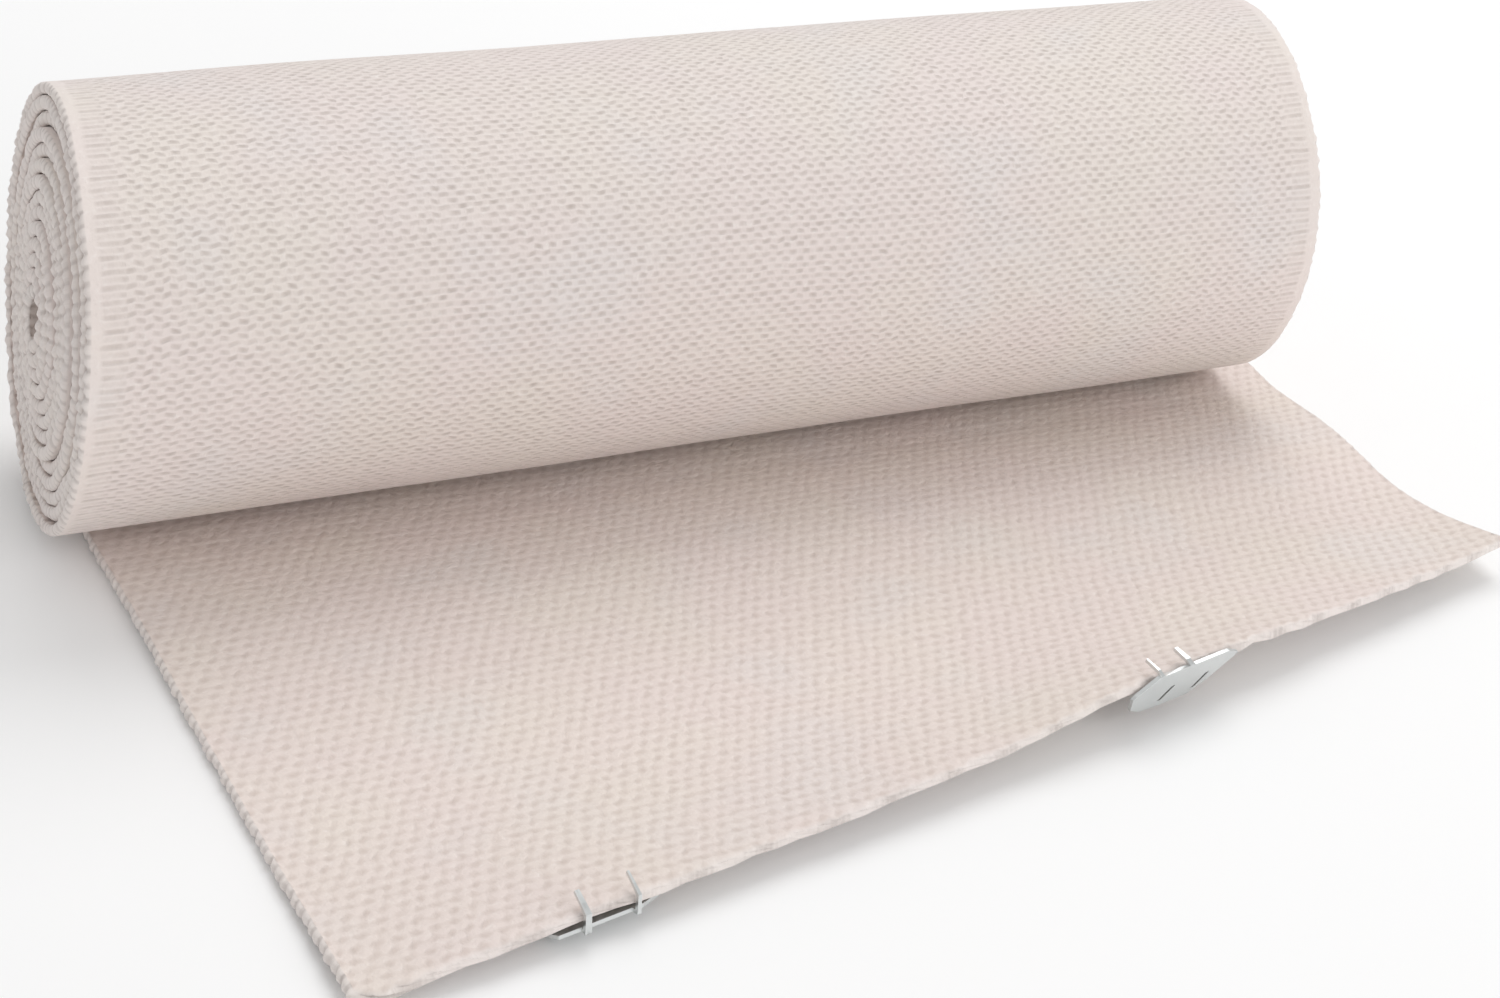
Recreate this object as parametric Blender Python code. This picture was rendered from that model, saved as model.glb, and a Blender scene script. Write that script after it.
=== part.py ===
# Elastic bandage, 15 cm wide: a wound roll with its free end laid out, held by two toothed clips.
# Metres, +Z up, the floor at z = 0. +X runs across the cloth, the free end points towards -Y.

import math

import bmesh
import bpy
import numpy as np
from mathutils import Vector

MM = 0.001

# The cloth strip
CLOTH_WIDTH = 150.0 * MM
CLOTH_WALL = 1.25 * MM
WRAP_GAP = 0.35 * MM         # space left between two wraps of the roll
ROLL_RADIUS = 24.65 * MM
CORE_RADIUS = 1.8 * MM       # the hole left in the middle of the roll
STEPS_PER_TURN = 40

# The free end, measured from the line where it leaves the roll
TAIL_LEFT = 87.3 * MM
TAIL_RIGHT = 57.5 * MM
TAIL_BOW = 2.0 * MM          # the cut end bulges this much past a straight line
TAIL_FLAT = 12.0 * MM        # stretch next to the roll that lies flat on the floor
TAIL_DRIFT = 0.041           # shares of the width by which its side edges pull in
TAIL_WAIST = 0.0125
TAIL_NARROW = 0.011
CORNER_ROUND = 3.0 * MM
WAVE_HEIGHT = 1.3 * MM
WAVE_PLACE = 27.0 * MM
WAVE_LENGTH = 34.0 * MM
RISE_LENGTH = 24.0 * MM      # the cut end lifts off the floor over this length
CORNER_CURL = 0.8 * MM
CURL_LENGTH = 11.0 * MM
TAIL_COLUMNS = 24
TAIL_ROWS = 22

# The two clips
LEFT_CLIP_LENGTH = 11.6 * MM
RIGHT_CLIP_LENGTH = 13.6 * MM
CLIP_WIDTH = 4.3 * MM
CLIP_SHEET = 0.4 * MM
CLIP_GAP = 0.3 * MM          # clearance between a clip and the cloth it holds
TOOTH_WIDTH = 0.5 * MM
TOOTH_TIP = 0.22 * MM
TOOTH_REACH = 1.5 * MM       # how far a tooth reaches in over the cloth
TOOTH_LIFT = 0.9 * MM
SLOT_WIDTH = 0.55 * MM
CUT_RISE = 4.65 * MM         # the most by which the cut end is held off the floor

# For each clip: its place across the cut end as a share of the width, how steeply its plate hangs in
# degrees, whether the plate starts over the cloth, its length, how far its slots lean sideways for each
# step down, and the places of its teeth and slots in shares of half its length
CLIPS = {
    "clip_left": (0.165, 9.0, False, LEFT_CLIP_LENGTH, 0.0, (-0.40, 0.50), (-0.17, 0.26)),
    "clip_right": (0.644, 80.0, True, RIGHT_CLIP_LENGTH, 1.05, (-0.78, -0.17), (-0.12, 0.61)),
}
# The plate's upper and lower outline: (share of half the length, share of the width)
PLATE_NEAR = [(-1, 0.37), (-0.84, 0.0), (0.64, 0.0), (1, 0.17)]
PLATE_FAR = [(-1, 0.45), (-0.74, 0.80), (-0.4, 0.96), (0, 1.0), (0.64, 1.0), (0.84, 0.74), (1, 0.26)]
SLOT_SHARES = (0.48, 0.84)    # where the slots start and end, in shares of the plate's depth

# The roll's end faces lean: how far a side edge moves out with height above the axis and with depth
LEFT_LEAN = 0.1165
LEFT_SKEW = 0.019
RIGHT_LEAN = -0.008
RIGHT_SKEW = 0.130

# How far each side edge wanders besides, by turns from the tail inwards: (turns, share of the width)
LEFT_WANDER = [(0, 0.0265), (0.25, -0.002), (1, -0.003), (1.6, -0.003), (2.4, 0.001), (3.5, -0.004),
               (4.6, -0.001), (6, -0.006), (8, -0.005), (10, -0.009), (13.5, -0.011)]
RIGHT_WANDER = [(0, 0.026), (0.25, -0.013), (1, -0.013), (1.6, -0.017), (2.6, -0.011), (3.6, -0.016),
                (5, -0.012), (7, -0.017), (9, -0.013), (13.5, -0.018)]

# How far the underside of the cut end is lifted, from its left side to its right: (share, share of the rise)
END_RISE_SHARES = [(0.0, 0.18), (0.10, 0.34), (0.17, 0.44), (0.30, 0.48), (0.46, 0.62), (0.60, 1.0),
                   (0.70, 1.0), (0.84, 0.76), (1.0, 0.58)]

WRAP_PITCH = CLOTH_WALL + WRAP_GAP
MID_RADIUS = ROLL_RADIUS - CLOTH_WALL / 2
WRAPS = (MID_RADIUS - CORE_RADIUS - CLOTH_WALL / 2) / WRAP_PITCH


def clear_scene():
    for item in list(bpy.data.objects):
        bpy.data.objects.remove(item, do_unlink=True)


def plain_material(name, colour, roughness, metallic):
    material = bpy.data.materials.new(name)
    material.use_nodes = True
    shader = material.node_tree.nodes["Principled BSDF"]
    shader.inputs["Base Color"].default_value = (*colour, 1.0)
    shader.inputs["Roughness"].default_value = roughness
    shader.inputs["Metallic"].default_value = metallic
    return material


def smooth_table(table, place):
    """Reads a table of (place, value) pairs with eased steps between its entries."""
    places = [entry[0] for entry in table]
    values = [entry[1] for entry in table]
    if place <= places[0]:
        return values[0]
    if place >= places[-1]:
        return values[-1]
    index = int(np.searchsorted(places, place, side="right")) - 1
    share = (place - places[index]) / (places[index + 1] - places[index])
    share = share * share * (3 - 2 * share)
    return values[index] + (values[index + 1] - values[index]) * share


def bump(distance, length):
    """A smooth hump that is 1 in the middle and 0 beyond half its length."""
    share = min(abs(distance) / (length / 2), 1.0)
    return 0.5 * (1 + math.cos(math.pi * share))


def ease(value):
    value = min(max(value, 0.0), 1.0)
    return value * value * (3 - 2 * value)


# The roll: one station of four corners every few degrees along a spiral that runs inwards

def side_edges(turns):
    angle = turns * 2 * math.pi
    radius = MID_RADIUS - WRAP_PITCH * turns
    height = -radius * math.cos(angle)
    depth = radius * math.sin(angle)
    left = LEFT_LEAN * height + LEFT_SKEW * depth + smooth_table(LEFT_WANDER, turns) * CLOTH_WIDTH
    right = RIGHT_LEAN * height + RIGHT_SKEW * depth + smooth_table(RIGHT_WANDER, turns) * CLOTH_WIDTH
    return left, CLOTH_WIDTH + right


def roll_station(turns):
    """The four corners of the strip: outer left, outer right, inner right, inner left."""
    angle = turns * 2 * math.pi
    radius = MID_RADIUS - WRAP_PITCH * turns
    left, right = side_edges(turns)
    corners = []
    for side, offset in ((left, 0.5), (right, 0.5), (right, -0.5), (left, -0.5)):
        reach = radius + offset * CLOTH_WALL
        corners.append(Vector((side, reach * math.sin(angle), ROLL_RADIUS - reach * math.cos(angle))))
    return corners


# The free end: a grid across the cloth (share 0 to 1) and along it (share 0 at the roll to 1 at the cut)

def tail_length(across):
    length = TAIL_LEFT + (TAIL_RIGHT - TAIL_LEFT) * across + TAIL_BOW * 4 * across * (1 - across)
    inset = across * CLOTH_WIDTH
    if inset < CORNER_ROUND:
        length -= CORNER_ROUND - math.sqrt(CORNER_ROUND ** 2 - (CORNER_ROUND - inset) ** 2)
    return length


def tail_lift(across, distance):
    """Height of the cloth's underside above the floor."""
    length = tail_length(across)
    wave = WAVE_HEIGHT * (0.25 + 0.75 * across) * bump(distance - WAVE_PLACE, WAVE_LENGTH)
    rise = smooth_table(END_RISE_SHARES, across) * CUT_RISE
    lift = wave + rise * ease((distance - (length - RISE_LENGTH)) / (2 * RISE_LENGTH)) * 2
    from_side = (1 - across) * CLOTH_WIDTH
    from_end = length - distance
    away = math.hypot(from_side, from_end)
    lift += CORNER_CURL * max(0.0, 1 - away / CURL_LENGTH) ** 1.6
    return lift


def tail_place(across, along):
    """A point on the underside of the free end."""
    left, right = side_edges(0)
    left += CLOTH_WIDTH * TAIL_DRIFT * along
    right -= CLOTH_WIDTH * (TAIL_WAIST * math.sin(math.pi * along) + TAIL_NARROW * along)
    flat_share = TAIL_FLAT / tail_length(across)
    distance = along * tail_length(across)
    x = left + (right - left) * across
    lift = 0.0 if along <= flat_share else tail_lift(across, distance)
    return Vector((x, -distance, lift))


def column_shares():
    """Columns are closer together at the rounded corner and at the curled one."""
    even = np.linspace(0, 1, TAIL_COLUMNS + 1)
    corner = np.array([0.12, 0.35, 0.7]) * CORNER_ROUND / CLOTH_WIDTH
    return sorted(set(round(float(share), 6) for share in np.concatenate([even, corner])))


def along_shares(across):
    """Row 0 is at the roll and row 1 at the end of the flat stretch, the rest are spread evenly."""
    flat = TAIL_FLAT / tail_length(across)
    return [0.0] + [float(share) for share in np.linspace(flat, 1, TAIL_ROWS)]


def build_cloth(material):
    mesh = bmesh.new()
    columns = column_shares()
    rows = TAIL_ROWS + 1
    under = []
    over = []
    for across in columns:
        places = [tail_place(across, along) for along in along_shares(across)]
        under.append([mesh.verts.new(place) for place in places])
        over.append([mesh.verts.new(place + Vector((0, 0, CLOTH_WALL))) for place in places])
    last = len(columns) - 1
    for column in range(last):
        for row in range(rows - 1):
            corners = [(column, row), (column + 1, row), (column + 1, row + 1), (column, row + 1)]
            mesh.faces.new([over[c][r] for c, r in reversed(corners)])
            mesh.faces.new([under[c][r] for c, r in corners])
        mesh.faces.new([under[column][rows - 1], under[column + 1][rows - 1],
                        over[column + 1][rows - 1], over[column][rows - 1]])
    for row in range(rows - 1):
        mesh.faces.new([under[0][row], under[0][row + 1], over[0][row + 1], over[0][row]])
        mesh.faces.new([under[last][row + 1], under[last][row], over[last][row], over[last][row + 1]])

    # The strip's first station under the roll is fanned out to the tail's columns
    count = int(math.ceil(WRAPS * STEPS_PER_TURN))
    stations = [[mesh.verts.new(corner) for corner in roll_station(index * WRAPS / count)]
                for index in range(1, count + 1)]
    first = stations[0]
    middle = last // 2
    for column in range(last):
        outer = first[0] if column < middle else first[1]
        inner = first[3] if column < middle else first[2]
        mesh.faces.new([under[column + 1][0], under[column][0], outer])
        mesh.faces.new([over[column][0], over[column + 1][0], inner])
    mesh.faces.new([under[middle][0], first[0], first[1]])
    mesh.faces.new([over[middle][0], first[2], first[3]])
    mesh.faces.new([under[0][0], over[0][0], first[3], first[0]])
    mesh.faces.new([over[last][0], under[last][0], first[1], first[2]])

    for near, far in zip(stations, stations[1:]):
        for side in range(4):
            after = (side + 1) % 4
            mesh.faces.new([near[side], far[side], far[after], near[after]])
    mesh.faces.new(stations[-1])
    bmesh.ops.recalc_face_normals(mesh, faces=mesh.faces)
    return finish_object(mesh, "bandage", material, 35)


def finish_object(mesh, name, material, sharp_degrees):
    data = bpy.data.meshes.new(name)
    mesh.to_mesh(data)
    mesh.free()
    data.materials.append(material)
    data.shade_smooth()
    data.set_sharp_from_angle(angle=math.radians(sharp_degrees))
    item = bpy.data.objects.new(name, data)
    bpy.context.scene.collection.objects.link(item)
    return item


# The clips: thin slotted plates at the cut end, with two teeth that lean in over the cloth

def end_frame(across, length):
    """The cut end's lower edge where a clip sits, and the clip's axes: along it, inwards, and up."""
    step = 0.5 * length / CLOTH_WIDTH
    before = tail_place(across - step, 1.0)
    after = tail_place(across + step, 1.0)
    along = (after - before).normalized()
    inwards = Vector((0, 0, 1)).cross(along).normalized()
    up = along.cross(inwards)
    centre = (before + after) / 2
    here = tail_place(across, 1.0)
    outermost = min((here - centre).dot(inwards), 0.0)
    lowest = min((here - centre).dot(up), 0.0)
    return centre + inwards * outermost + up * lowest, along, inwards, up


def straight_table(table, place):
    return float(np.interp(place, [entry[0] for entry in table], [entry[1] for entry in table]))


def build_clip(name, facts, material):
    across, drop_degrees, over, length, slant, teeth, slots = facts
    origin, along, inwards, up = end_frame(across, length)
    offset = CLIP_GAP + CLIP_SHEET / 2
    if over:
        start = (-1.7 * offset, CLOTH_WALL + offset)
        tooth = [(-0.7 * offset, CLOTH_WALL + 1.55 * offset), (TOOTH_REACH, CLOTH_WALL + 2.1 * offset)]
    else:
        start = (0.0, -1.04 * offset)
        tooth = [(-1.16 * offset, -0.84 * offset), (-1.16 * offset, CLOTH_WALL + 0.5 * offset),
                 (0.7 * offset, CLOTH_WALL + 1.6 * offset), (TOOTH_REACH, CLOTH_WALL + TOOTH_LIFT + offset)]
    drop = math.radians(drop_degrees)
    slope = inwards * math.cos(drop) - up * math.sin(drop)
    fold = origin + inwards * start[0] + up * start[1]
    half = length / 2
    mesh = bmesh.new()

    # The plate is cut to rows at its upper edge, both ends of the slots, and its lower edge
    tooth_half = TOOTH_WIDTH / 2 / half
    slot_half = SLOT_WIDTH / 2 / half
    fixed = [place + step for place in teeth for step in (-tooth_half, tooth_half)]
    fixed += [place + step for place in slots for step in (-slot_half, slot_half)]
    sides = [entry[0] for entry in PLATE_NEAR + PLATE_FAR] + fixed
    columns = []
    for side in sorted(set(round(value, 5) for value in sides)):
        kept = min(abs(side - value) for value in fixed) < 1e-4 or abs(side) == 1
        if columns and side - columns[-1][0] < 0.02:
            if not kept:
                continue
            if not columns[-1][1]:
                columns.pop()
        columns.append((side, kept))
    columns = [side for side, kept in columns]
    grid = []
    for side in columns:
        near = straight_table(PLATE_NEAR, side) * CLIP_WIDTH
        far = straight_table(PLATE_FAR, side) * CLIP_WIDTH
        row = []
        for share in (0, *SLOT_SHARES, 1):
            depth = near + (far - near) * share
            row.append(mesh.verts.new(fold + along * (side * half - slant * depth) + slope * depth))
        grid.append(row)
    for column in range(len(columns) - 1):
        middle = (columns[column] + columns[column + 1]) / 2
        in_slot = min(abs(middle - place) for place in slots) < slot_half
        for row in range(3):
            if in_slot and row == 1:
                continue
            mesh.faces.new([grid[column][row], grid[column + 1][row],
                            grid[column + 1][row + 1], grid[column][row + 1]])
        if min(abs(middle - place) for place in teeth) < tooth_half:
            add_tooth(mesh, grid[column][0], grid[column + 1][0], along, inwards, up, start, tooth)
    bmesh.ops.recalc_face_normals(mesh, faces=mesh.faces)
    item = finish_object(mesh, name, material, 30)
    thickness = item.modifiers.new("sheet", "SOLIDIFY")
    thickness.thickness = CLIP_SHEET
    thickness.offset = 0.0
    thickness.use_even_offset = True
    return item


def add_tooth(mesh, left, right, along, inwards, up, start, path):
    """A tooth leaves the plate's upper edge and leans in over the cloth to a narrow tip."""
    centre = (left.co + right.co) / 2
    row = (left, right)
    for index, (reach, rise) in enumerate(path):
        narrow = 1 + (TOOTH_TIP / TOOTH_WIDTH - 1) * (index + 1) / len(path)
        place = centre + inwards * (reach - start[0]) + up * (rise - start[1])
        half = along * TOOTH_WIDTH / 2 * narrow
        after = (mesh.verts.new(place - half), mesh.verts.new(place + half))
        mesh.faces.new([row[0], row[1], after[1], after[0]])
        row = after


def centre_on_floor(items):
    """Moves the whole object so that its box is centred on the origin and stands on the floor."""
    bpy.context.view_layer.update()
    graph = bpy.context.evaluated_depsgraph_get()
    places = []
    for item in items:
        shape = item.evaluated_get(graph)
        places += [shape.matrix_world @ vert.co for vert in shape.data.vertices]
    low = Vector([min(place[axis] for place in places) for axis in range(3)])
    high = Vector([max(place[axis] for place in places) for axis in range(3)])
    shift = Vector((-(low.x + high.x) / 2, -(low.y + high.y) / 2, -low.z))
    for item in items:
        item.location += shift
    bpy.context.view_layer.update()


clear_scene()
cloth_look = plain_material("bandage", (0.78, 0.70, 0.64), 0.9, 0.0)
clip_look = plain_material("clip", (0.70, 0.71, 0.71), 0.3, 1.0)
pieces = [build_cloth(cloth_look)]
for clip_name, clip_facts in CLIPS.items():
    pieces.append(build_clip(clip_name, clip_facts, clip_look))
centre_on_floor(pieces)
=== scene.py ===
import math

import bpy
import numpy as np
from mathutils import Matrix, Vector


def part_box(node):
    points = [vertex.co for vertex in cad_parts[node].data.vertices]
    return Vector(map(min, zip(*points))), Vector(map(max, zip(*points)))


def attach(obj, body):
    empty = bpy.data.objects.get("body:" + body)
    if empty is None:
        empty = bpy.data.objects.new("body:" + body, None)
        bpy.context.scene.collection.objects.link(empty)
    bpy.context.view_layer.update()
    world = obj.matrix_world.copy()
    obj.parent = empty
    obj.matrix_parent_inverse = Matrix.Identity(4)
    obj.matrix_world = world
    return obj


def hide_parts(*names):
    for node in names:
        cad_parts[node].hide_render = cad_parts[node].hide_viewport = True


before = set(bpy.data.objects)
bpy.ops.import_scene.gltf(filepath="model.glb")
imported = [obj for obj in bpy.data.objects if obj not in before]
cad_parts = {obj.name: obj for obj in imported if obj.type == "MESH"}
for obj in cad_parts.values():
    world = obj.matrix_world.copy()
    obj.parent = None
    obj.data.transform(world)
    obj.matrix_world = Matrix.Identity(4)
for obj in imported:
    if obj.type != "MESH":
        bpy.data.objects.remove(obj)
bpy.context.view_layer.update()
print("frame loaded:", sorted(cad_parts))

mm = 0.001
widthMm = 150.0

# The cloth's route is a spiral of wraps, then the free end laid out on the floor
cloth = {
    "width": widthMm * mm,
    "wall": 1.25 * mm,
    "wrapGap": 0.35 * mm,
    "tightWall": 1.5 * mm,        # the wraps inside the roll nearly touch
    "rollRadius": 24.65 * mm,
    "coreRadius": 1.8 * mm,
    "outerTurns": 1.02,        # how far the outermost piece runs round the roll
    # the end faces lean outwards with height over the axis and with depth
    "leftLean": 0.1165,
    "leftSkew": 0.019,
    "rightLean": -0.008,
    "rightSkew": 0.130,
    # how far each side edge wanders besides, in shares of the width: (turns inwards, share)
    "leftWander": [(0, 0.0265), (0.25, -0.002), (1, -0.003), (1.6, -0.003), (2.4, 0.001), (3.5, -0.004),
                   (4.6, -0.001), (6, -0.006), (8, -0.005), (10, -0.009), (13.5, -0.011)],
    "rightWander": [(0, 0.026), (0.25, -0.013), (1, -0.013), (1.6, -0.017), (2.6, -0.011), (3.6, -0.016),
                    (5, -0.012), (7, -0.017), (9, -0.013), (13.5, -0.018)],
}
freeEnd = {
    "leftLength": 87.3 * mm,
    "rightLength": 57.5 * mm,
    "bow": 2.0 * mm,
    "flat": 12.0 * mm,
    # shares of the width by which the side edges pull in
    "drift": 0.041,
    "waist": 0.0125,
    "narrow": 0.011,
    "cornerRound": 3.0 * mm,
    "waveHeight": 1.3 * mm,
    "wavePlace": 27.0 * mm,
    "waveLength": 34.0 * mm,
    "riseHeight": 4.65 * mm,
    "riseLength": 24.0 * mm,
    "riseShares": [(0.0, 0.18), (0.10, 0.34), (0.17, 0.44), (0.30, 0.48), (0.46, 0.62), (0.60, 1.0),
                   (0.70, 1.0), (0.84, 0.76), (1.0, 0.58)],
    "cornerCurl": 0.8 * mm,
    "curlLength": 11.0 * mm,
    "fray": 0.22 * mm,
    # the last stations before the cut, how far from it they lie and how thick the wall is there
    "lastStations": (0.0, 0.12, 0.3, 0.6),
    "lastThin": (0.93, 0.82, 0.62),
}
wrapPitch = cloth["wall"] + cloth["wrapGap"]
midRadius = cloth["rollRadius"] - cloth["wall"] / 2
wraps = (midRadius - cloth["coreRadius"] - cloth["wall"] / 2) / wrapPitch


def easedTable(table, place):
    places = np.array([entry[0] for entry in table], float)
    values = np.array([entry[1] for entry in table], float)
    place = np.clip(place, places[0], places[-1])
    index = np.clip(np.searchsorted(places, place, side="right") - 1, 0, len(places) - 2)
    share = (place - places[index]) / (places[index + 1] - places[index])
    share = share * share * (3 - 2 * share)
    return values[index] + (values[index + 1] - values[index]) * share


def ease(value):
    value = np.clip(value, 0.0, 1.0)
    return value * value * (3 - 2 * value)


def softNoise(x, y, seed):        # smooth value noise from -1 to 1, one unit to a cell
    x, y = np.broadcast_arrays(np.asarray(x, float), np.asarray(y, float))
    column, row = np.floor(x).astype(np.int64), np.floor(y).astype(np.int64)
    fx, fy = ease(x - column), ease(y - row)

    def corner(i, j):
        mixed = (i * 73856093) ^ (j * 19349663) ^ (seed * 83492791)
        mixed = (mixed ^ (mixed >> 13)) * 1274126177
        return ((mixed ^ (mixed >> 16)) & 0xFFFF) / 32767.5 - 1.0

    low = corner(column, row) * (1 - fx) + corner(column + 1, row) * fx
    high = corner(column, row + 1) * (1 - fx) + corner(column + 1, row + 1) * fx
    return low * (1 - fy) + high * fy


def sideEdges(turns):
    width, radius = cloth["width"], midRadius - wrapPitch * turns
    height, depth = -radius * np.cos(2 * math.pi * turns), radius * np.sin(2 * math.pi * turns)
    left = cloth["leftLean"] * height + cloth["leftSkew"] * depth
    right = cloth["rightLean"] * height + cloth["rightSkew"] * depth
    return (left + easedTable(cloth["leftWander"], turns) * width,
            right + (1 + easedTable(cloth["rightWander"], turns)) * width)


def alongRoll(turns):        # distance along the cloth, negative inwards from the tail's start
    return -2 * math.pi * (midRadius * turns - wrapPitch * turns * turns / 2)


def tailLength(across):
    length = (freeEnd["leftLength"] + (freeEnd["rightLength"] - freeEnd["leftLength"]) * across
              + freeEnd["bow"] * 4 * across * (1 - across))
    radius = freeEnd["cornerRound"]
    inset = np.clip(across * cloth["width"], 0, radius)
    return length - (radius - np.sqrt(radius ** 2 - (radius - inset) ** 2))


def tailLift(across, distance):
    length = tailLength(across)
    share = np.clip(np.abs(distance - freeEnd["wavePlace"]) / (freeEnd["waveLength"] / 2), 0, 1)
    lift = freeEnd["waveHeight"] * (0.25 + 0.75 * across) * 0.5 * (1 + np.cos(math.pi * share))
    rise = easedTable(freeEnd["riseShares"], across) * freeEnd["riseHeight"]
    lift = lift + rise * 2 * ease((distance - (length - freeEnd["riseLength"]))
                                  / (2 * freeEnd["riseLength"]))
    away = np.hypot((1 - across) * cloth["width"], length - distance)
    lift = lift + freeEnd["cornerCurl"] * np.clip(1 - away / freeEnd["curlLength"], 0, 1) ** 1.6
    return lift * ease((distance - freeEnd["flat"]) / (3 * mm))


def tailMiddle(across, along):        # the middle of the wall, from the roll (0) to the cut (1)
    left, right = sideEdges(np.zeros(1))
    left = left + cloth["width"] * freeEnd["drift"] * along
    pull = freeEnd["waist"] * np.sin(math.pi * along) + freeEnd["narrow"] * along
    right = right - cloth["width"] * pull
    distance = along * tailLength(across)
    x = left + (right - left) * across
    z = tailLift(across, distance) + cloth["wall"] / 2
    return np.stack(np.broadcast_arrays(x, -distance, z), -1)


shareGrid = np.linspace(0, 1, 161)
tailGrid = tailMiddle(shareGrid[None, :], shareGrid[:, None])
localLow = np.array([sideEdges(np.linspace(0, wraps, 2000))[0].min(), tailGrid[..., 1].min(), 0.0])
frameShift = np.array(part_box("bandage")[0]) - localLow
frameShift[2] = 0.0


def solidFrom(name, points, attributes, uv, endUv, outerCount):
    # points is (stations, loop, 3): a closed loop round the cloth's section at each station
    stations, loop = points.shape[:2]
    index = np.arange(stations * loop).reshape(stations, loop)
    near, far = index[:-1], index[1:]
    quads = np.stack([near, far, np.roll(far, -1, 1), np.roll(near, -1, 1)], -1).reshape(-1, 4)
    wall = np.stack([uv[:-1, :-1], uv[1:, :-1], uv[1:, 1:], uv[:-1, 1:]], 2).reshape(-1, 2)
    corners = [quads.reshape(-1)]
    starts = [np.arange(len(quads)) * 4]
    cornerUv = [wall]
    count = len(quads) * 4
    for ring, flip, row in ((index[0], False, 0.955), (index[-1], True, 0.98)):
        faces = endFaces(ring, flip, outerCount)
        corners.append(faces.reshape(-1))
        starts.append(count + np.arange(len(faces)) * 3)
        count += faces.size
        cornerUv.append(endUv[np.searchsorted(ring, faces.reshape(-1))] + (0, row))
    mesh = bpy.data.meshes.new(name)
    mesh.vertices.add(stations * loop)
    mesh.vertices.foreach_set("co", (points + frameShift).reshape(-1).astype(np.float32))
    loops = np.concatenate(corners).astype(np.int32)
    mesh.loops.add(len(loops))
    mesh.loops.foreach_set("vertex_index", loops)
    firsts = np.concatenate(starts).astype(np.int32)
    mesh.polygons.add(len(firsts))
    mesh.polygons.foreach_set("loop_start", firsts)
    mesh.update(calc_edges=True)
    layer = mesh.uv_layers.new(name="OFBake")
    layer.data.foreach_set("uv", np.concatenate(cornerUv).reshape(-1).astype(np.float32))
    for title, values in attributes.items():
        kind = "FLOAT_VECTOR" if values.ndim == 3 else "FLOAT"
        store = mesh.attributes.new(title, kind, "POINT")
        store.data.foreach_set("vector" if kind == "FLOAT_VECTOR" else "value",
                               values.reshape(-1).astype(np.float32))
    mesh.shade_smooth()
    mesh.validate()
    piece = bpy.data.objects.new(name, mesh)
    bpy.context.scene.collection.objects.link(piece)
    return piece


def endFaces(ring, flip, outerCount):        # a ladder of triangles between a section's long sides
    total = len(ring)
    faces = []
    low, high = 0, total - 1
    while high - low > 1:
        # step the side whose next point lies closer along its own side
        if low / outerCount <= (total - 1 - high) / (total - outerCount):
            faces.append((ring[low], ring[low + 1], ring[high]))
            low += 1
        else:
            faces.append((ring[low], ring[high - 1], ring[high]))
            high -= 1
    faces = np.array(faces)
    return faces[:, ::-1] if flip else faces


knit = {        # lengths in millimetres
    "column": 1.745,
    "rowOuter": 0.69,
    "rowInner": 1.45,
    "grooveHalf": 0.40,        # half a groove's width, in rows
    "dashHalf": 0.66,        # half a dash's length, in half columns
    "slant": 0.45,        # how far the inner knots shift sideways from row to row, in columns
    "outerDepth": 0.12,
    "innerDepth": 0.15,
    "selvedge": 4.0,
    "hem": 1.1,        # the plain rim of the selvedge
    "scallop": 0.13,
    "rimInset": 0.45,
    "rimReach": 0.5,
    "wobble": 0.07,
    "undulate": 0.22,
}


def section(outerColumns, innerColumns, rimSteps=5):
    # a closed loop: outer face left to right, right rim, inner face right to left, left rim
    inset = knit["rimInset"] * mm / cloth["width"]
    rim = np.linspace(72, -72, rimSteps)
    across = [outerColumns * (1 - 2 * inset) + inset]
    height = [np.full(len(outerColumns), 0.5)]
    outward = [np.zeros(len(outerColumns))]
    rimFlag = [np.zeros(len(outerColumns))]
    innerFlag = [np.zeros(len(outerColumns))]
    for side, angles in ((1, rim), (0, rim[::-1])):
        if side == 0:
            across.append(innerColumns[::-1] * (1 - 2 * inset) + inset)
            height.append(np.full(len(innerColumns), -0.5))
            outward.append(np.zeros(len(innerColumns)))
            rimFlag.append(np.zeros(len(innerColumns)))
            innerFlag.append(np.ones(len(innerColumns)))
        across.append(np.full(rimSteps, 1 - inset if side else inset))
        height.append(0.52 * np.sin(np.radians(angles)))
        outward.append((knit["rimReach"] * mm) * np.cos(np.radians(angles)) * (1 if side else -1))
        rimFlag.append(np.ones(rimSteps))
        innerFlag.append((angles < 0) * 1.0)
    return [np.concatenate(part) for part in (across, height, outward, rimFlag, innerFlag)]


def warped(u, s):        # cloth coordinates in millimetres, pulled about as a real knit is
    du = 0.30 * softNoise(u / 2.3, s / 1.5, 3) + 0.45 * softNoise(u / 22, s / 17, 4)
    ds = 0.12 * softNoise(u / 2.9, s / 2.1, 5) + 0.40 * softNoise(u / 24, s / 19, 6)
    zigzag = 0.10 * np.sin(2 * math.pi * (u + du) / knit["column"])
    return u + du, s + ds + zigzag * np.clip((np.minimum(u, widthMm - u) - 3) / 2, 0, 1)


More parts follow.
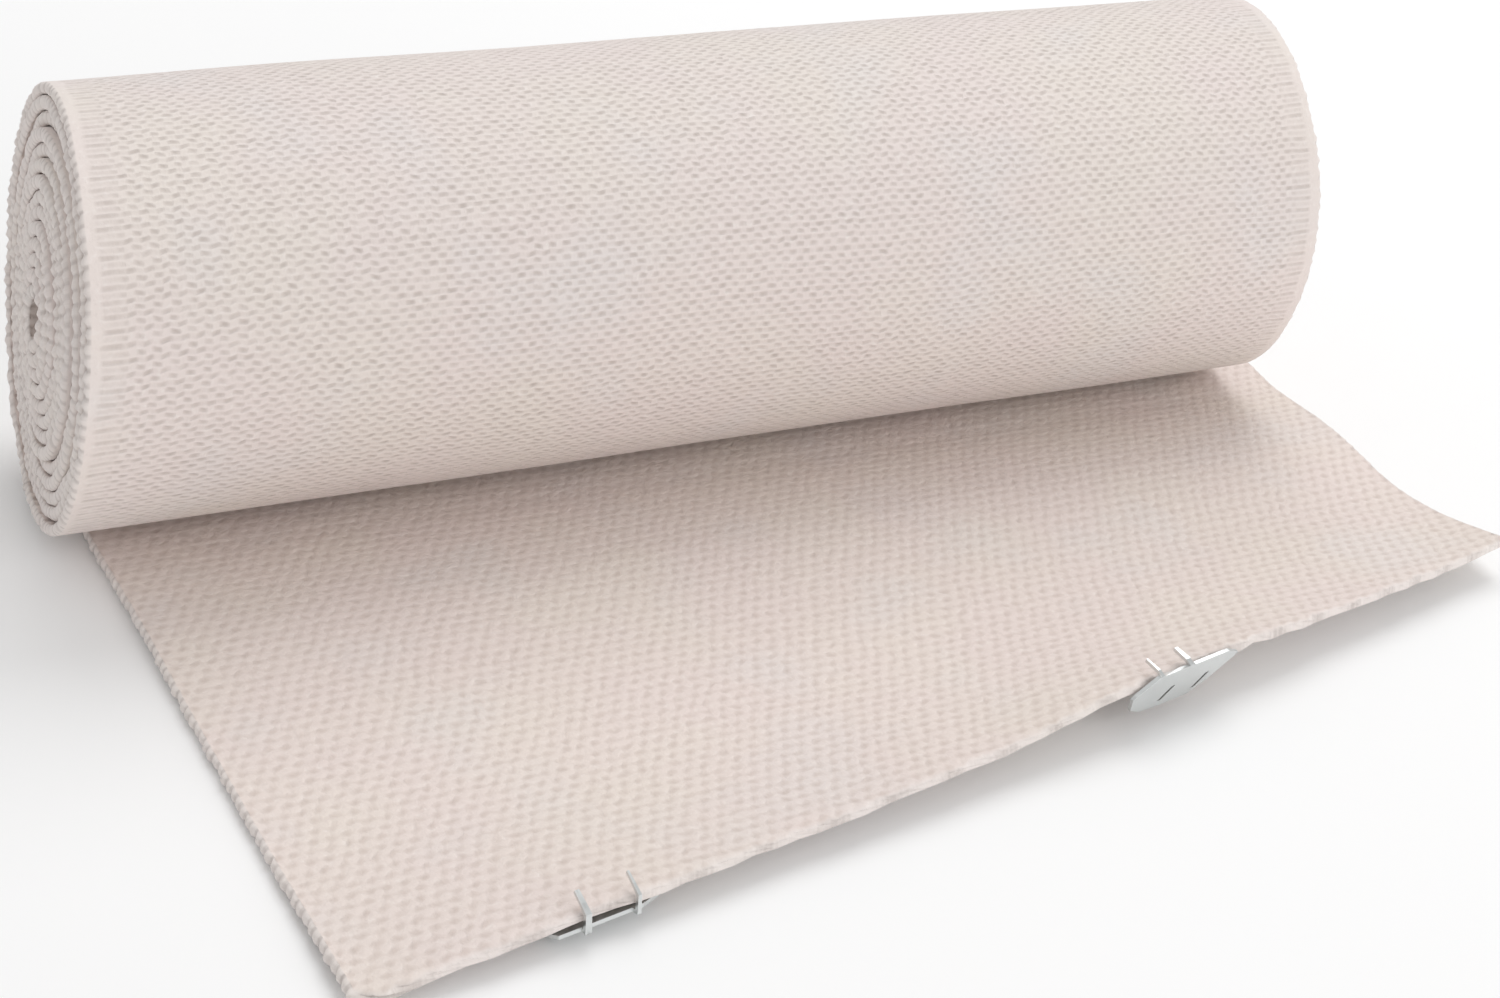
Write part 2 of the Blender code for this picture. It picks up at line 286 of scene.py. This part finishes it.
def dashes(u, s):        # how deep the outer face is between its stitches, 0 to 1
    row = s / knit["rowOuter"]
    whole = np.floor(row + 0.5)
    odd = np.abs(whole) % 2
    groove = np.clip(1 - (np.abs(row - whole) / knit["grooveHalf"]) ** 2, 0, 1)
    place = u / knit["column"] + 0.5 * odd
    off = np.abs(place - np.floor(place) - 0.5) * 2
    dash = np.clip(1 - (off / knit["dashHalf"]) ** 2, 0, 1)
    dark = groove * (0.30 - 0.18 * odd + (0.70 + 0.18 * odd) * dash)
    dark = dark * (0.72 + 0.55 * softNoise(u / 1.7, s / 1.0, 12))
    fromEdge = np.minimum(u, widthMm - u)
    edge = np.clip((knit["selvedge"] - fromEdge) / 0.8, 0, 1)
    hem = np.clip((fromEdge - knit["hem"]) / 0.5, 0, 1)
    hem = hem * (0.5 + 0.4 * softNoise(u / 1.4, s / 1.2, 13))
    return dark * (1 - edge) + groove * (0.75 - 0.40 * odd) * hem * edge


def knots(u, s):        # how high the inner face stands over its pits, 0 to 1
    b = s / knit["rowInner"]
    a = u / knit["column"] + knit["slant"] * b
    swell = 0.5 + 0.25 * (np.cos(2 * math.pi * a) + np.cos(2 * math.pi * b))
    uneven = 0.28 * softNoise(u / 0.85, s / 0.75, 14) + 0.16 * softNoise(u / 2.4, s / 2.2, 15)
    return np.clip(swell + uneven, 0, 1)


def clothSolid(name, place, stationsAt, columns, thin):
    # place(station, across) gives the wall's middle, its outward normal and the distance along in mm
    across, height, outward, rimFlag, innerFlag = columns
    middle, normal, along = place(stationsAt[:, None], across[None, :])
    u = across[None, :] * widthMm + 0 * along
    us, ss = warped(u, along)
    outerFace = (rimFlag == 0) & (innerFlag == 0)
    innerFace = (rimFlag == 0) & (innerFlag == 1)
    depth = (knit["outerDepth"] * dashes(us, ss) * outerFace
             + knit["innerDepth"] * (1 - knots(us, ss)) * innerFace)
    size = cloth["wall"] * height[None, :] * thin
    push = size - np.sign(height)[None, :] * depth * mm
    beads = np.cos(2 * math.pi * ss / (2 * knit["rowOuter"])) + 1.2 * softNoise(ss / 0.9, u / 50, 9)
    scallop = knit["scallop"] * mm * beads * (rimFlag[None, :] > 0)
    side = np.sign(outward)[None, :] * scallop * np.abs(outward / (knit["rimReach"] * mm))[None, :]
    points = middle + normal * push[..., None]
    points[..., 0] += outward[None, :] + side
    rim = rimFlag[None, :] + 0 * along
    rim = np.maximum(rim, np.clip((1 - thin) * 3, 0, 1))
    attributes = {
        "knit": np.stack([us, ss, 0 * us], -1),
        "inner": innerFlag[None, :] + 0 * along,
        "rim": rim,
    }
    share = np.linspace(0, 1, len(across) + 1)
    stationShare = (stationsAt - stationsAt[0]) / (stationsAt[-1] - stationsAt[0])
    # the wall fills the texture up to 0.94, and the two ends lie in bands above it
    uv = np.stack(np.broadcast_arrays(share[None, :], 0.94 * stationShare[:, None]), -1)
    endUv = np.stack([across, 0.016 * height], -1)
    return solidFrom(name, points, attributes, uv, endUv, int(np.sum(outerFace)))


def wrapPlace(turns, across):
    left, right = sideEdges(turns)
    angle = turns * 2 * math.pi
    along = alongRoll(turns) / mm + 0 * across
    u = across * widthMm
    wander = (knit["wobble"] * softNoise(along / 14, np.round(across) * 5, 21)
              + knit["undulate"] * softNoise(u / 26, along / 21, 22) * (turns < 1.2)) * mm
    radius = midRadius - wrapPitch * turns + 0.5 * wander - 0.1 * mm
    normal = np.stack(np.broadcast_arrays(0 * angle * across, np.sin(angle), -np.cos(angle)), -1)
    slide = 0.14 * mm * softNoise(along / 7, np.round(across) * 3, 23)
    slide = slide * (np.abs(across - 0.5) * 2) ** 4
    x = left + (right - left) * across + slide
    middle = np.stack(np.broadcast_arrays(
        x, radius * np.sin(angle), cloth["rollRadius"] - radius * np.cos(angle)), -1).copy()
    return middle, normal, along


def tailPlace(share, across):
    # share runs from just under the roll to the cut end
    middle = tailMiddle(across, share).copy()
    fray = softNoise(across * 110, 3 * across, 31) + 0.7 * softNoise(across * 260, 5 * across, 32)
    middle[..., 1] += freeEnd["fray"] * fray * ease((share - 0.985) / 0.015)

    def between(low, high):        # the step from one place near this one to another
        return (tailMiddle(np.clip(across + high[0], 0, 1), np.clip(share + high[1], 0, 1))
                - tailMiddle(np.clip(across + low[0], 0, 1), np.clip(share + low[1], 0, 1)))

    step = 0.004
    normal = np.cross(between((0, -step), (0, step)), between((-step, 0), (step, 0)))
    normal /= np.linalg.norm(normal, axis=-1, keepdims=True)
    normal *= np.sign(-normal[..., 2:3])
    along = share * tailLength(across) / mm
    return middle, normal, along


def evenly(count):
    return np.linspace(0, 1, count)


def edgeColumns(depthMm, fine):        # close columns near both sides, a few across the middle
    near = np.linspace(0, depthMm / widthMm, fine)
    return np.concatenate([near, [0.08, 0.3, 0.5, 0.7, 0.92], 1 - near[::-1]])


outerTurns = cloth["outerTurns"]
tailEnd = np.array(freeEnd["lastStations"]) * mm / freeEnd["leftLength"]
tailShares = np.concatenate([np.linspace(0, 1 - tailEnd[-1], 236), 1 - tailEnd[-2::-1]])
tailThin = np.ones((len(tailShares), 1))
tailThin[-3:, 0] = freeEnd["lastThin"]
tail = clothSolid("bandage_tail", tailPlace, tailShares,
                  section(evenly(60), evenly(330)), tailThin)
outer = clothSolid("bandage_outer_wrap", wrapPlace, np.linspace(0, outerTurns, 424),
                   section(evenly(173), evenly(30)), 1.0)
inner = clothSolid("bandage_inner_wraps", wrapPlace,
                   np.linspace(outerTurns, wraps, 2600),
                   section(edgeColumns(5, 5), edgeColumns(3, 3)), cloth["tightWall"] / cloth["wall"])
for piece in (tail, outer, inner):
    print(piece.name, len(piece.data.polygons), "faces")


class Wire:        # wraps a shader socket, so that plain expressions add Math nodes
    def __init__(self, tree, socket=None):
        self.tree = tree
        self.socket = socket

    def node(self, kind, settings=None, inputs=None, output=0):
        made = self.tree.nodes.new(kind)
        for name, value in (settings or {}).items():
            setattr(made, name, value)
        for name, value in (inputs or {}).items():
            if isinstance(value, Wire):
                self.tree.links.new(value.socket, made.inputs[name])
            else:
                made.inputs[name].default_value = value
        return Wire(self.tree, made.outputs[output])

    def math(self, operation, *values):
        return self.node("ShaderNodeMath", {"operation": operation}, dict(enumerate(values)))

    def __add__(self, other):
        return self.math("ADD", self, other)

    def __radd__(self, other):
        return self.math("ADD", other, self)

    def __sub__(self, other):
        return self.math("SUBTRACT", self, other)

    def __rsub__(self, other):
        return self.math("SUBTRACT", other, self)

    def __mul__(self, other):
        return self.math("MULTIPLY", self, other)

    def __rmul__(self, other):
        return self.math("MULTIPLY", other, self)

    def __truediv__(self, other):
        return self.math("DIVIDE", self, other)

    def __rtruediv__(self, other):
        return self.math("DIVIDE", other, self)

    def __pow__(self, other):
        return self.math("POWER", self, other)

    def __abs__(self):
        return self.math("ABSOLUTE", self)

    def floor(self):
        return self.math("FLOOR", self)

    def cosine(self):
        return self.math("COSINE", self)

    def held(self):        # kept from 0 to 1
        return self.math("MINIMUM", self.math("MAXIMUM", self, 0.0), 1.0)

    def mixed(self, kind, other):        # this colour blended in full with another
        return self.node("ShaderNodeMix", {"data_type": "RGBA", "blend_type": kind},
                         {0: 1.0, 6: self, 7: other}, 2)

    def colours(self, first, second):        # first where this is 0, second where it is 1
        return self.node("ShaderNodeMix", {"data_type": "RGBA"}, {0: self, 6: first, 7: second}, 2)


def newMaterial(name):
    material = bpy.data.materials.new(name)
    material.use_nodes = True
    tree = material.node_tree
    shader = tree.nodes["Principled BSDF"]
    return material, tree, shader


def noiseAt(start, where, scale, detail=2.0):
    return start.node("ShaderNodeTexNoise", None, {"Vector": where, "Scale": scale, "Detail": detail})


clothLook = {
    "pink": (0.80, 0.715, 0.685, 1),
    "cream": (0.80, 0.73, 0.68, 1),
    "cool": (0.775, 0.735, 0.72, 1),
    # a painted highlight for the tops of the raised yarn bumps
    "threadHighlight": (0.85, 0.785, 0.75, 1),
    # painted shade for the low places between the yarn bumps
    "hollowShade": (0.735, 0.655, 0.62, 1),
    # painted shade for the grooves between the outer stitches and between the selvedge ribs
    "outerGrooveShade": (0.48, 0.41, 0.37, 1),
    # painted shade for the pits between the inner face's knots
    "innerPitShade": (0.50, 0.41, 0.36, 1),
    "rimTint": (0.82, 0.76, 0.725, 1),
    # painted shade between the beads of the rims, with random mottling
    "rimPitShadeAndMottle": (0.50, 0.44, 0.41, 1),
    "innerWarmth": (0.99, 0.955, 0.93, 1),
    "grooveShadeStrength": 0.55,
    "pitShadeStrength": 0.45,
    "roughness": 0.92,
}


def clothMaterial(look):
    material, tree, shader = newMaterial("bandage knit")
    start = Wire(tree)
    knitPlace = start.node("ShaderNodeAttribute", {"attribute_name": "knit"}, None, 1)
    u = start.node("ShaderNodeSeparateXYZ", None, {0: knitPlace}, 0)
    s = start.node("ShaderNodeSeparateXYZ", None, {0: knitPlace}, 1)
    innerSide = start.node("ShaderNodeAttribute", {"attribute_name": "inner"}, None, 2)
    rim = start.node("ShaderNodeAttribute", {"attribute_name": "rim"}, None, 2)

    # the outer face: staggered dashes in rows, plain ribs along both side edges
    row = s / knit["rowOuter"]
    whole = (row + 0.5).floor()
    odd = abs(whole).math("MODULO", abs(whole), 2.0)
    groove = (1 - (abs(row - whole) / knit["grooveHalf"]) ** 2).held()
    place = u / knit["column"] + odd * 0.5
    off = abs(place - place.floor() - 0.5) * 2
    dash = (1 - (off / knit["dashHalf"]) ** 2).held()
    vary = noiseAt(start, knitPlace, 0.55) * 1.7 + 0.1
    base = 0.30 - odd * 0.18
    stitches = groove * (base + (1 - base) * dash) * vary
    fromEdge = u.math("MINIMUM", u, widthMm - u)
    selvedge = ((knit["selvedge"] - fromEdge) / 0.8).held()
    hem = ((fromEdge - knit["hem"]) / 0.5).held() * vary
    ribs = groove * (0.75 - odd * 0.40) * hem
    outerDark = stitches * (1 - selvedge) + ribs * selvedge

    # the inner face: soft slanted knots with pits between
    b = s / knit["rowInner"]
    a = u / knit["column"] + b * knit["slant"]
    swell = 0.5 + ((a * (2 * math.pi)).cosine() + (b * (2 * math.pi)).cosine()) * 0.25
    uneven = noiseAt(start, knitPlace, 1.1) * 0.9 - 0.45
    innerDark = (0.62 - swell - uneven).held() * 1.3

    # soft patches, a painted highlight on each raised yarn bump and painted shade in the low places
    # between, painted shade in the outer grooves and inner pits, the warmer inner face, and the rims with
    # mottling and painted shade between their beads
    plain = 1 - rim
    onInner = innerSide * plain
    onOuter = (1 - innerSide) * plain
    patches = ((noiseAt(start, knitPlace, 0.045, 3.0) - 0.42) * 5).held()
    tone = patches.colours(look["pink"], look["cream"])
    cool = ((noiseAt(start, knitPlace, 0.062, 2.0) - 0.52) * 6).held()
    tone = (cool * 0.5).colours(tone, look["cool"])
    threadReliefAndPaintedLight = noiseAt(start, knitPlace, 1.3, 4.0)
    # painted highlight: the tops of the raised yarn bumps are lightened
    tone = ((threadReliefAndPaintedLight - 0.56) * 5).held().colours(tone, look["threadHighlight"])
    # painted shade: the low places between the yarn bumps are darkened
    tone = ((0.43 - threadReliefAndPaintedLight) * 4).held().colours(tone, look["hollowShade"])
    # painted shade in the grooves between the outer face's stitches and ribs
    tone = (outerDark * onOuter * look["grooveShadeStrength"]).held().colours(tone, look["outerGrooveShade"])
    # painted shade in the pits between the inner face's knots
    tone = (innerDark * onInner * look["pitShadeStrength"]).held().colours(tone, look["innerPitShade"])
    tone = (onInner * 0.6).colours(tone, tone.mixed("MULTIPLY", look["innerWarmth"]))
    fibre = noiseAt(start, knitPlace, 2.2, 3.0)
    tone = (rim * (0.25 + fibre * 0.5)).held().colours(tone, look["rimTint"])
    # painted shade in the dips between the rim's beads, plus random mottling from the fibre noise
    beads = 0.5 - (s * (math.pi / knit["rowOuter"])).cosine() * 0.5
    tone = (rim * (beads ** 2 * 0.55 + (fibre - 0.55) * 1.2)).held().colours(tone, look["rimPitShadeAndMottle"])
    tree.links.new(tone.socket, shader.inputs["Base Color"])

    fuzz = noiseAt(start, knitPlace, 3.5, 3.0)
    heightMap = fuzz * 0.35 + threadReliefAndPaintedLight * 0.9 - outerDark * onOuter - innerDark * onInner * 0.8
    bump = start.node("ShaderNodeBump", None, {"Strength": 0.55, "Distance": 0.0002, "Height": heightMap})
    tree.links.new(bump.socket, shader.inputs["Normal"])
    shader.inputs["Roughness"].default_value = look["roughness"]
    shader.inputs["Sheen Weight"].default_value = 0.15
    shader.inputs["Sheen Roughness"].default_value = 0.5
    return material


clipLook = {"colour": (0.76, 0.78, 0.775, 1), "worn": (0.66, 0.675, 0.67, 1), "roughness": 0.34}


def clipMaterial(look):
    material, tree, shader = newMaterial("clip metal")
    start = Wire(tree)
    spot = start.node("ShaderNodeTexCoord", None, None, 3)
    fine = noiseAt(start, spot, 900, 3.0)
    wear = noiseAt(start, spot, 260, 4.0)
    tree.links.new((fine * 0.14 + wear * 0.12 + look["roughness"] - 0.13).socket,
                   shader.inputs["Roughness"])
    tone = wear.colours(look["worn"], look["colour"])
    tree.links.new(tone.socket, shader.inputs["Base Color"])
    bump = start.node("ShaderNodeBump", None, {"Strength": 0.12, "Distance": 0.0002, "Height": fine})
    tree.links.new(bump.socket, shader.inputs["Normal"])
    shader.inputs["Metallic"].default_value = 1.0
    return material


knitMaterial = clothMaterial(clothLook)
for piece in (tail, outer, inner):
    piece.data.materials.append(knitMaterial)
    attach(piece, "root")
    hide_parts("bandage")
tailArea = cloth["width"] * float(np.trapz(tailLength(shareGrid), shareGrid))
-alongRoll(outerTurns)
alongRoll(outerTurns) - alongRoll(wraps)
metal = clipMaterial(clipLook)
for name in ("clip_left", "clip_right"):
    node = bpy.data.objects[name]
    for place in node.material_slots:
        place.material = metal
print("materials set")


studio = {
    "floorHalf": 4.0,
    "floorDrop": 0.2 * mm,
    "worldLight": 0.61,
    "keyPlace": (0.35, 0.45, 0.9),
    "keySize": 0.8,
    "keyPower": 4.5,
    "fillPlace": (0.35, -0.9, 0.45),
    "fillSize": 0.9,
    "fillPower": 3.6,
}


def makeFloor():
    mesh = bpy.data.meshes.new("floor")
    half = studio["floorHalf"]
    mesh.from_pydata([(-half, -half, 0), (half, -half, 0), (half, half, 0), (-half, half, 0)], [],
                     [(0, 1, 2, 3)])
    floor = bpy.data.objects.new("floor", mesh)
    floor.location.z = -studio["floorDrop"]
    bpy.context.scene.collection.objects.link(floor)
    material, _, shader = newMaterial("floor")
    shader.inputs["Base Color"].default_value = (0.95, 0.95, 0.95, 1)
    shader.inputs["Roughness"].default_value = 0.9
    mesh.materials.append(material)


def areaLight(name, place, size, power):
    light = bpy.data.lights.new(name, "AREA")
    light.shape = "DISK"
    light.size = size
    light.energy = power
    lamp = bpy.data.objects.new(name, light)
    lamp.location = place
    lamp.rotation_mode = "QUATERNION"
    lamp.rotation_quaternion = (-Vector(place)).to_track_quat("-Z", "Y")
    bpy.context.scene.collection.objects.link(lamp)


makeFloor()
areaLight("key", studio["keyPlace"], studio["keySize"], studio["keyPower"])
areaLight("fill", studio["fillPlace"], studio["fillSize"], studio["fillPower"])
world = bpy.data.worlds.new("soft light")
world.use_nodes = True
world.node_tree.nodes["Background"].inputs["Color"].default_value = (1, 1, 1, 1)
world.node_tree.nodes["Background"].inputs["Strength"].default_value = studio["worldLight"]
bpy.context.scene.world = world
bpy.context.scene.view_settings.view_transform = "Standard"

camera = {
    "place": (-37.17 * mm, -236.18 * mm, 141.80 * mm),        # from the roll axis's left end
    "turn": 0.4750,
    "dip": 0.5239,
    "lean": 0.0970,
    "focal": 2445.4,        # in pixels, as is the image's width
    "imageWidth": 1500,
}


def makeCamera(facts):
    turn, dip, lean = facts["turn"], facts["dip"], facts["lean"]
    forward = Vector((math.sin(turn) * math.cos(dip), math.cos(turn) * math.cos(dip), -math.sin(dip)))
    right = Vector((math.cos(turn), -math.sin(turn), 0))
    up = right.cross(forward)
    leanRight = right * math.cos(lean) + up * math.sin(lean)
    leanUp = up * math.cos(lean) - right * math.sin(lean)
    data = bpy.data.cameras.new("camera")
    data.sensor_width = 36
    data.lens = facts["focal"] / facts["imageWidth"] * 36
    data.clip_start = 0.01
    eye = bpy.data.objects.new("camera", data)
    eye.matrix_world = Matrix.Translation(Vector(facts["place"]) + Vector(frameShift)) @ Matrix(
        (leanRight, leanUp, -forward)).transposed().to_4x4()
    bpy.context.scene.collection.objects.link(eye)
    bpy.context.scene.camera = eye


makeCamera(camera)
print("studio set")
